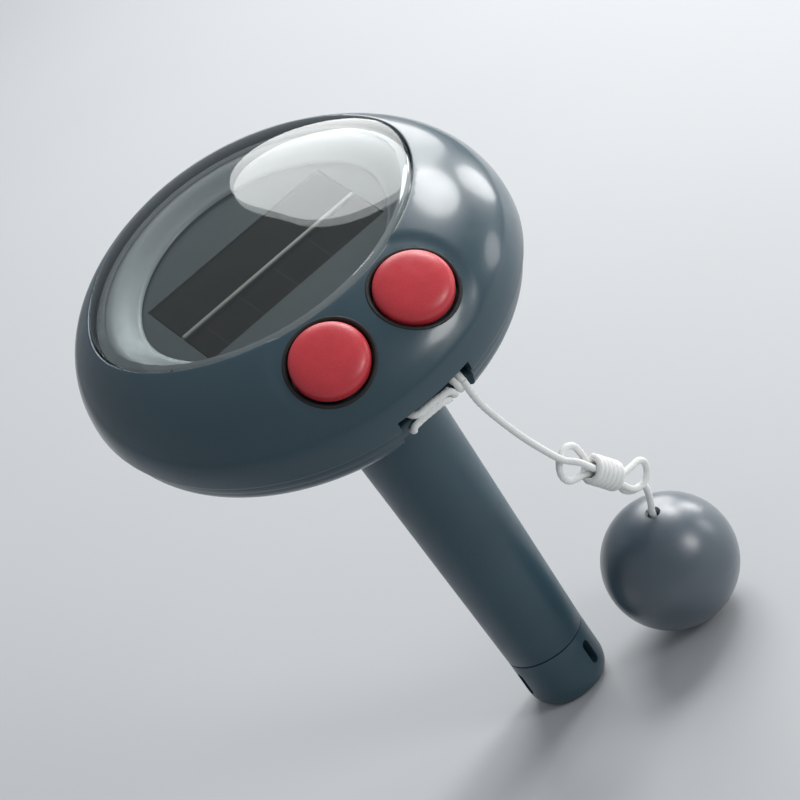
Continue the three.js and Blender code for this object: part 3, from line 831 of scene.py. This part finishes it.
SHEET_CENTRE = 20 * MM  # rings smaller than this lie wholly inside the window


def ring_sizes(outer, step):
    """Radius and number of points of each ring, closer together where the dome gets steep."""
    sizes, angle = [], math.radians(3)
    while True:
        radius = outer * math.cos(angle) ** (2 / DOME_POWER)
        if radius < SHEET_CENTRE:
            return sizes
        sizes.append((radius, int(TURN * radius / step)))
        angle += (1 if radius < 0.9 * outer else 0.55) * step / outer


BAND_RADIUS = 45.8 * MM
BAND_STEPS = 16
BAND_FOOT = math.radians(1.2)


def rim_band(angle):
    """Loops down the steep edge of the dome, from the outline of its upper part to just above the rim."""
    start = math.acos((BAND_RADIUS / HEAD_RADIUS) ** (DOME_POWER / 2))
    loops = []
    for k in range(BAND_STEPS + 1):
        slope = start + (BAND_FOOT - start) * k / BAND_STEPS
        loop = around(HEAD_RADIUS * math.cos(slope) ** (2 / DOME_POWER), angle, 0)
        loop[:, 2] = top_at(loop[:, 0], loop[:, 1])
        loops.append(loop)
    return loops


def add_part(points, faces, more_points, more_faces):
    shift = len(points)
    return np.vstack([points, more_points]), list(faces) + [tuple(v + shift for v in f) for f in more_faces]


RIM_HEIGHT = 0.5 * MM
INNER_RIM_HEIGHT = 0.6 * MM
SHEET_STEP = 0.95 * MM
SHEET_CLEAR = 0.35 * MM
INNER_STEP = 2.4 * MM
INNER_CLEAR = 0.9 * MM
SHELL_FOOT = [(47.93, 0.27), (47.75, 0.15), (45.75, 0.15)]  # radius and height, in millimetres


def make_top_shell():
    angle = full_turn(2 * FINE)
    rim = around(HEAD_RADIUS, angle, RIM_HEIGHT)
    band = rim_band(angle)
    loops = []
    for offset in EASE:
        loop = window_loop(LENS_WINDOW, -GAP - offset, top_at)
        loop[:, 2] -= ease_drop(offset)
        loops.append(loop)
    window_edge = loops[0]
    for well in WELLS.values():
        loops += [well.on(top_at, WELL_RADIUS + offset, -ease_drop(offset)) for offset in EASE]
    loops.append(band[0])

    def keep_outer(x, y):
        wells = [well.near(x, y, WELL_RADIUS, top_at) for well in WELLS.values()]
        return ~(in_window(x, y) | wells[0] | wells[1]) & (np.hypot(x, y) < BAND_RADIUS)

    points, faces = sheet_between(loops, ring_sizes(HEAD_RADIUS, SHEET_STEP), top_at, keep_outer, SHEET_CLEAR)
    points, faces = add_part(points, faces, *loft([*band, rim], closed=False))

    inner_at = dome_inside(WALL)
    inner_radius = HEAD_RADIUS - WALL
    window_inner = window_loop(LENS_WINDOW, -GAP, inner_at)
    rim_inner = around(inner_radius, angle, INNER_RIM_HEIGHT)
    cup_radius = WELL_RADIUS + WELL_WALL
    cup_tops = {name: well.on(inner_at, cup_radius) for name, well in WELLS.items()}

    def keep_inner(x, y):
        wells = [well.near(x, y, cup_radius, inner_at) for well in WELLS.values()]
        return ~(in_window(x, y) | wells[0] | wells[1])

    inner_loops = [window_inner, *cup_tops.values(), rim_inner]
    inner_rings = ring_sizes(inner_radius, INNER_STEP)
    inner = sheet_between(inner_loops, inner_rings, inner_at, keep_inner, INNER_CLEAR)
    points, faces = add_part(points, faces, *inner)
    points, faces = add_part(points, faces, *loft([window_edge, window_inner], closed=False))
    for name, well in WELLS.items():
        under = -WELL_DEPTH - WELL_FLOOR
        cup = [
            well.on(top_at, WELL_RADIUS, -ease_drop(0.0)), well.flat(WELL_RADIUS, -WELL_DEPTH),
            well.flat(WELL_BORE, -WELL_DEPTH), well.flat(WELL_BORE, under), well.flat(cup_radius, under),
            cup_tops[name],
        ]
        points, faces = add_part(points, faces, *loft(cup, closed=False))
    foot = [rim, *[around(radius, angle, height) for radius, height in in_metres(SHELL_FOOT)], rim_inner]
    points, faces = add_part(points, faces, *loft(foot, closed=False))
    shell = mesh_object("top_housing", points, faces, SHELL, sharp=35)
    rim_limit = [(0, -20), (46.6, -20), (46.6, 20), (0, 20)]
    cut_notch(shell, SEAM, NOTCH_TOP + POCKET_WALL, 11.6 * MM, rim_limit)
    tilt_shell(shell, "top_shell")


def head_matrix():
    return Matrix.Translation(Vector(HEAD_CENTRE)) @ Matrix.Rotation(HEAD_TILT, 4, "X")


def tilt_shell(shell, node):
    shell.data.transform(head_matrix())
    finish_mesh(shell, SHELL, 35)
    place(shell, "shell_plastic", node)


POCKET_WALL = 1.8 * MM
POCKET_FRONT = -46.4 * MM
BEYOND = 60 * MM  # further out than any part of the head


def in_metres(rows):
    return [(radius * MM, height * MM) for radius, height in rows]


def cut_notch(shell, low, high, half_width, limit):
    """Joins a solid pocket wall, trimmed to a turned outline, to a shell and cuts the notch through both."""
    back = NOTCH_BACK + 1.6 * MM
    block = box_mesh((-half_width, POCKET_FRONT, low), (half_width, back, high))
    pocket = mesh_object("pocket", *block, SHELL)
    boolean(pocket, *lathe(in_metres(limit), FINE), "INTERSECT")
    points = np.array([tuple(v.co) for v in pocket.data.vertices])
    faces = [tuple(p.vertices) for p in pocket.data.polygons]
    bpy.data.objects.remove(pocket)
    boolean(shell, points, faces, "UNION")
    notch = box_mesh((-NOTCH_HALF_WIDTH, -BEYOND, -BEYOND / 2), (NOTCH_HALF_WIDTH, NOTCH_BACK, NOTCH_TOP))
    boolean(shell, *notch, "DIFFERENCE")


def bowl_profile(radius, depth, steps):
    """The bowl's curve from its lowest point up to the lip."""
    rows = []
    for i in range(steps + 1):
        angle = (1 - i / steps) * math.pi / 2
        reach = radius * math.cos(angle) ** (2 / BOWL_POWER) if i else 0.0
        drop = (depth - LIP_HEIGHT) * math.sin(angle) ** (2 / BOWL_POWER)
        rows.append((reach, -LIP_HEIGHT - GAP - drop))
    return rows


BOWL_STEP = 0.4 * MM  # how far the bowl's top lies inside the lip
SCREW_BORE = [(0, -20), (2.7, -20), (2.7, -3.5), (1.4, -3.5), (1.4, 5), (0, 5)]


def make_bottom_shell():
    lip, flange = LIP_RADIUS, FLANGE_RADIUS
    profile = bowl_profile(lip - BOWL_STEP, BOWL_DEPTH, 40)
    for inset, height in ((0.12, -2.28), (0, -2.05), (0, -0.45), (0.08, -0.24), (0.3, -0.15)):
        profile.append((lip - inset * MM, height * MM))
    profile += [(flange, -SEAM), (flange, -LIP_HEIGHT)]
    profile += bowl_profile(flange - BOWL_STEP, BOWL_DEPTH - BOWL_WALL, 24)[::-1]
    shell = mesh_object("bottom_housing", *lathe(profile, FINE), SHELL)
    bowl_limit = [(0, -9.4), (37.5, -9.4), (42.5, -7), (46, -2.5), (46.2, 0), (0, 0)]
    cut_notch(shell, -16 * MM, -SEAM, 13.4 * MM, bowl_limit)
    upright = np.array(head_matrix().inverted())
    reach = STEM_TOP_RADIUS + GAP
    hole, hole_faces = lathe([(0, 70 * MM), (reach, 70 * MM), (reach, 120 * MM), (0, 120 * MM)], 128)
    hole = hole @ upright[:3, :3].T + upright[:3, 3]
    boolean(shell, hole, hole_faces, "DIFFERENCE")
    bore, bore_faces = lathe(in_metres(SCREW_BORE), 40)
    for centre in around(SCREW_ORBIT, np.radians(SCREW_ANGLES), 0):
        boolean(shell, bore + centre, bore_faces, "DIFFERENCE")
    tilt_shell(shell, "bottom_shell")


def make_collar():
    """The tube inside the lower shell that the stem passes through."""
    inner = STEM_TOP_RADIUS + GAP
    outer = inner + COLLAR_WALL
    rows = [(inner, -1.4), (outer, -1.4), (outer, -0.4)]
    rows += [(outer - 0.3 * MM, 0), (inner + 0.2 * MM, 0), (inner, -0.2)]
    profile = [(radius, COLLAR_TOP + height * MM) for radius, height in rows]
    points, faces = lathe(profile, 96, closed=True)
    place(mesh_object("stem_collar", points, faces, SHELL), "shell_plastic")


LENS_STEPS = 34


def cap_over(rim, surface, steps):
    """Points and faces of a sheet from a loop to the axis: the loop drawn in step by step on a surface."""
    count = len(rim)
    loops = [rim]
    for k in range(1, steps):
        loop = rim * (1 - k / steps)
        loop[:, 2] = surface(loop[:, 0], loop[:, 1])
        loops.append(loop)
    points, faces = loft(loops, closed=False)
    last = len(points) - count
    faces += [(last + i, last + (i + 1) % count, len(points)) for i in range(count)]
    return np.vstack([points, [[0, 0, surface(0.0, 0.0)]]]), faces


def make_lens():
    top, under = dome_inside(-GAP), dome_inside(LENS_THICKNESS)
    foot = window_loop(LENS_WINDOW, 0, under)
    edge = [foot]
    for offset in EASE:
        loop = window_loop(LENS_WINDOW, offset, top)
        loop[:, 2] -= ease_drop(offset)
        edge.append(loop)
    points, faces = loft(edge, closed=False)
    for rim, surface in ((edge[-1], top), (foot, under)):
        points, faces = add_part(points, faces, *cap_over(rim, surface, LENS_STEPS))
    lens = mesh_object("clear_lens", to_world(points), faces, LENS, sharp=50)
    place(lens, "lens_clear", "lens")


BEZEL_STEPS = 14
BEZEL_THICKNESS = 1.4 * MM
BEZEL_BULGE = 0.9 * MM
GASKET_THICKNESS = 0.6 * MM
# The bezel's inner step: inset from the panel's window and height above the panel, in millimetres
BEZEL_EDGE = [(-0.45, 0.66), (-0.12, 0.42), (0, 0.1), (-0.1, 0), (-1.4, 0)]


def make_bezel():
    """The silver ring that slopes from the lens down to the display panel, with a step at its inner edge."""
    inset = LENS_THICKNESS + 2 * GAP + GASKET_THICKNESS
    top, under = dome_inside(inset), dome_inside(inset + BEZEL_THICKNESS)
    lip = PANEL_TOP + GAP
    outer = window_loop(LENS_WINDOW, 2.8 * MM, top)
    inner = window_loop(PANEL_WINDOW, -0.9 * MM, level(lip + 0.75 * MM))
    loops = [window_loop(LENS_WINDOW, 0.9 * MM, top), window_loop(LENS_WINDOW, 2.2 * MM, top)]
    for k in range(BEZEL_STEPS + 1):
        t = k / BEZEL_STEPS
        row = outer * (1 - t) + inner * t
        row[:, 2] += BEZEL_BULGE * math.sin(math.pi * t) * (1 - t)
        loops.append(row)
    for edge_inset, height in BEZEL_EDGE:
        loops.append(window_loop(PANEL_WINDOW, edge_inset * MM, level(lip + height * MM)))
    loops += [window_loop(LENS_WINDOW, 2.0 * MM, under), window_loop(LENS_WINDOW, 0.9 * MM, under)]
    points, faces = loft(loops)
    place(mesh_object("silver_bezel", to_world(points), faces, BEZEL, 50), "bezel_silver", "inner_bezel")


RIB_HALF_WIDTH = 0.42 * MM
RIB_FOOT = 0.1 * MM
RIB_HEIGHT = 0.32 * MM


def make_divider():
    """A light rib between the display and the solar cell."""
    half = STRIP_LENGTH / 2
    low = (-half, STRIP_GAP_CENTRE - RIB_HALF_WIDTH, PANEL_TOP - RIB_FOOT)
    high = (half, STRIP_GAP_CENTRE + RIB_HALF_WIDTH, PANEL_TOP + RIB_HEIGHT)
    points, faces = box_mesh(low, high)
    rib = mesh_object("display_divider", to_world(points), faces, DIVIDER)
    bevel(rib, 0.16 * MM)
    apply_modifiers(rib)
    finish_mesh(rib, DIVIDER)
    place(rib, "panel_grey")


# A button cap's crown: radius and height in millimetres, from its side to its middle
CROWN = [
    (8, -0.6), (7.97, -0.2), (7.86, 0.2), (7.6, 0.6), (7.2, 0.92), (6.6, 1.2), (5.8, 1.44), (4.8, 1.62),
    (3.6, 1.76), (2.4, 1.86), (1.2, 1.93), (0, 1.95),
]
CAP_SKIRT = [(0, -6.1), (2.2, -6.1), (2.2, -2), (8, -2)]
# A button rim's section: radius and height above the dome in millimetres, going in, and then its way back.
# The rim is black rubber, and its dark band on the dome is painted shade of the gap round the cap
RIM_IN = [
    (9.35, -0.25), (9.35, 0.02), (9.25, 0.12), (9.05, 0.17), (8.8, 0.12), (8.6, -0.05),
    (8.42, -0.35), (8.32, -0.9),
]
RIM_BACK = [(8.39, -0.8), (8.9, -0.3)]


def make_buttons():
    smooth = spline([(radius, height, 0) for radius, height in CROWN], 0.22)
    crown = [(max(radius, 0), height) for radius, height, _ in smooth[:-1]]
    upright, faces = lathe(in_metres(CAP_SKIRT + crown + [CROWN[-1]]), 96)
    for name, well in WELLS.items():
        points = to_world(turned(upright, well.out, well.origin))
        cap = mesh_object(f"{name}_button_cap", points, faces, BUTTON, 50)
        place(cap, "button_rubber", f"button_{name}", body=f"{name}_button")
        floor = -WELL_DEPTH + 0.05 * MM
        # A black rubber ring round the cap; its dark band on the dome is painted shade of the gap between cap
        # and well
        ring = [well.on(top_at, radius, lift) for radius, lift in in_metres(RIM_IN)]
        ring += [well.flat(8.32 * MM, floor), well.flat(8.38 * MM, floor)]
        ring += [well.on(top_at, radius, lift) for radius, lift in in_metres(RIM_BACK)]
        points, rim_faces = loft(ring)
        place(mesh_object(f"{name}_button_shade_rim", to_world(points), rim_faces, RUBBER, 50), "seal_rubber")


def make_bar():
    half, ease = BAR_LENGTH / 2, 0.25 * MM
    profile = [(0, -half), (BAR_RADIUS - ease, -half), (BAR_RADIUS, -half + ease)]
    profile += [(BAR_RADIUS, half - ease), (BAR_RADIUS - ease, half), (0, half)]
    points, faces = lathe(profile, 48)
    points = turned(points, (1, 0, 0), BAR_CENTRE)
    place(mesh_object("lanyard_bar", to_world(points), faces, SHELL, 50), "shell_plastic", "tether_bar")


# Stem
STEM_STEPS = 24
STEM_POINTS = 160
EDGE_CHAMFER = 0.03 * MM
TIP_FLAT = 6.4 * MM
TIP_RISE = 4.6 * MM
TIP_STEPS = 12
TIP_INSIDE = [(9.08, 13), (7.1, 13), (7.1, 19), (5.9, 19), (5.9, 2.6), (0, 2.6)]


def stem_radius(height):
    share = min((height - STEM_JOINT) / (COLLAR_TOP - STEM_JOINT), 1)
    return STEM_FOOT_RADIUS + (STEM_TOP_RADIUS - STEM_FOOT_RADIUS) * share


def make_stem():
    base = STEM_JOINT + GAP
    foot = stem_radius(base)
    profile = [
        (foot - STEM_WALL, base), (foot - STEM_EASE, base), (foot - EDGE_CHAMFER, base + EDGE_CHAMFER),
        (foot, base + STEM_EASE),
    ]
    for k in range(1, STEM_STEPS + 1):
        height = base + STEM_EASE + (COLLAR_TOP - base - STEM_EASE) * k / STEM_STEPS
        profile.append((stem_radius(height), height))
    profile += [(STEM_TOP_RADIUS, STEM_TOP), (STEM_TOP_RADIUS - STEM_WALL, STEM_TOP)]
    points, faces = lathe(profile, STEM_POINTS, closed=True)
    place(mesh_object("stem_body", points, faces, STEM), "stem_plastic", "stem_tube")


def make_tip():
    """The stem's rounded end, with an upright slot in each of three sides."""
    profile = [(0, 0), (TIP_FLAT, 0)]
    for k in range(1, TIP_STEPS + 1):
        angle = math.pi / 2 * k / TIP_STEPS
        reach = (STEM_FOOT_RADIUS - TIP_FLAT) * math.sin(angle) ** 0.9
        profile.append((TIP_FLAT + reach, TIP_RISE * (1 - math.cos(angle))))
    profile += [(STEM_FOOT_RADIUS, 9 * MM), (STEM_FOOT_RADIUS, STEM_JOINT - STEM_EASE)]
    profile += [(STEM_FOOT_RADIUS - EDGE_CHAMFER, STEM_JOINT - EDGE_CHAMFER)]
    points, faces = lathe(profile + in_metres(TIP_INSIDE), STEM_POINTS)
    tip = mesh_object("stem_tip", points, faces, STEM)
    for degrees in SLOT["angles"]:
        boolean(tip, *slot_cutter(math.radians(degrees)), "DIFFERENCE")
    finish_mesh(tip, STEM, 35)
    place(tip, "stem_plastic", "stem_cap")


def slot_cutter(direction):
    """An upright slot with round ends, cut outwards from the stem's axis."""
    outline, half = [], SLOT["half_width"]
    for start, centre in ((math.pi, SLOT["low"]), (0, SLOT["high"])):
        for angle in np.linspace(start, start + math.pi, 33):
            outline.append((half * math.cos(angle), centre + half * math.sin(angle)))
    out = np.array([math.cos(direction), math.sin(direction), 0])
    side = np.array([-math.sin(direction), math.cos(direction), 0])
    loops = []
    for reach in (3.5 * MM, 12 * MM):
        loops.append(np.array([out * reach + side * across + (0, 0, height) for across, height in outline]))
    points, faces = loft(loops, closed=False)
    count = len(outline)
    return points, faces + [tuple(range(count)), tuple(range(2 * count - 1, count - 1, -1))]


# CAD nodes that stay as they are
def dress_nodes():
    finishes = {
        "shell_gasket": RUBBER, "lens_gasket": SILICONE, "display_panel": PANEL, "lcd_display": DISPLAY,
        "solar_cell": SOLAR, "display_connector": RUBBER, "circuit_board": BOARD, "battery_cell": CELL,
        "battery_holder": RUBBER, "switch_left": SWITCH, "switch_right": SWITCH, "switch_board": BOARD,
        "button_seal_left": RUBBER, "button_seal_right": RUBBER, "stem_seal": RUBBER, "stem_nut": STEM,
        "ballast_weight": STEEL, "probe_seal": RUBBER, "sensor_probe": BRASS, "sensor_cable": RUBBER,
        **{f"case_screw_{i}": STEEL for i in range(1, 5)},
    }
    for name, finish in finishes.items():
        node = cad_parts[name]
        node.data.materials.clear()
        node.data.materials.append(finish)
        if name in ("display_panel", "lcd_display", "solar_cell", "circuit_board", "display_connector"):
            bevel(node, 0.12 * MM, 2)
        else:
            node.data.set_sharp_from_angle(angle=math.radians(40))


# Floor and light
def make_floor():
    half = 6.0
    points = [(-half, -half, 0), (half, -half, 0), (half, half, 0), (-half, half, 0)]
    colour = linear(196, 198, 200)
    finish = Finish("floor", colour, 0.7)
    finish.tint(finish.noise(0.12), shaded(colour, 0.96), 0, 0.5)
    floor = mesh_object("floor", points, [(0, 1, 2, 3)], finish.material)


def softbox(name, azimuth, elevation, distance, width, height, radiance):
    """A soft oval light that stands in a direction from the head and faces it."""
    az, el = math.radians(azimuth), math.radians(elevation)
    back = Vector((math.sin(az) * math.cos(el), -math.cos(az) * math.cos(el), math.sin(el)))
    data = bpy.data.lights.new(name, "AREA")
    data.shape = "ELLIPSE"
    data.size = width
    data.size_y = height
    data.energy = radiance * math.pi * (width * height * (math.pi / 4))
    lamp = bpy.data.objects.new(name, data)
    lamp.location = Vector(HEAD_CENTRE) + back * distance
    lamp.rotation_mode = "QUATERNION"
    lamp.rotation_quaternion = back.to_track_quat("Z", "Y")
    bpy.context.scene.collection.objects.link(lamp)


def make_lights():
    world = bpy.data.worlds.new("studio")
    world.use_nodes = True
    background = world.node_tree.nodes["Background"].inputs
    background["Color"].default_value = (0.62, 0.66, 0.7, 1)
    background["Strength"].default_value = 0.5
    bpy.context.scene.world = world
    softbox("window_light", 138, 33, 0.9, 0.56, 0.86, 4.6)
    softbox("key_high", 107, 40, 0.9, 0.32, 0.3, 12.0)
    softbox("key_low", 108, 13, 0.9, 0.24, 0.42, 9.0)
    softbox("front_fill", 36, 22, 1.1, 0.36, 0.36, 9.0)
    softbox("side_fill", 78, 6, 1.1, 0.3, 0.4, 4.0)
    bpy.context.scene.view_settings.view_transform = "Standard"


make_camera()
make_cord()
make_top_shell()
make_bottom_shell()
make_collar()
make_lens()
make_bezel()
make_divider()
make_buttons()
make_bar()
make_stem()
make_tip()
dress_nodes()
make_floor()
make_lights()
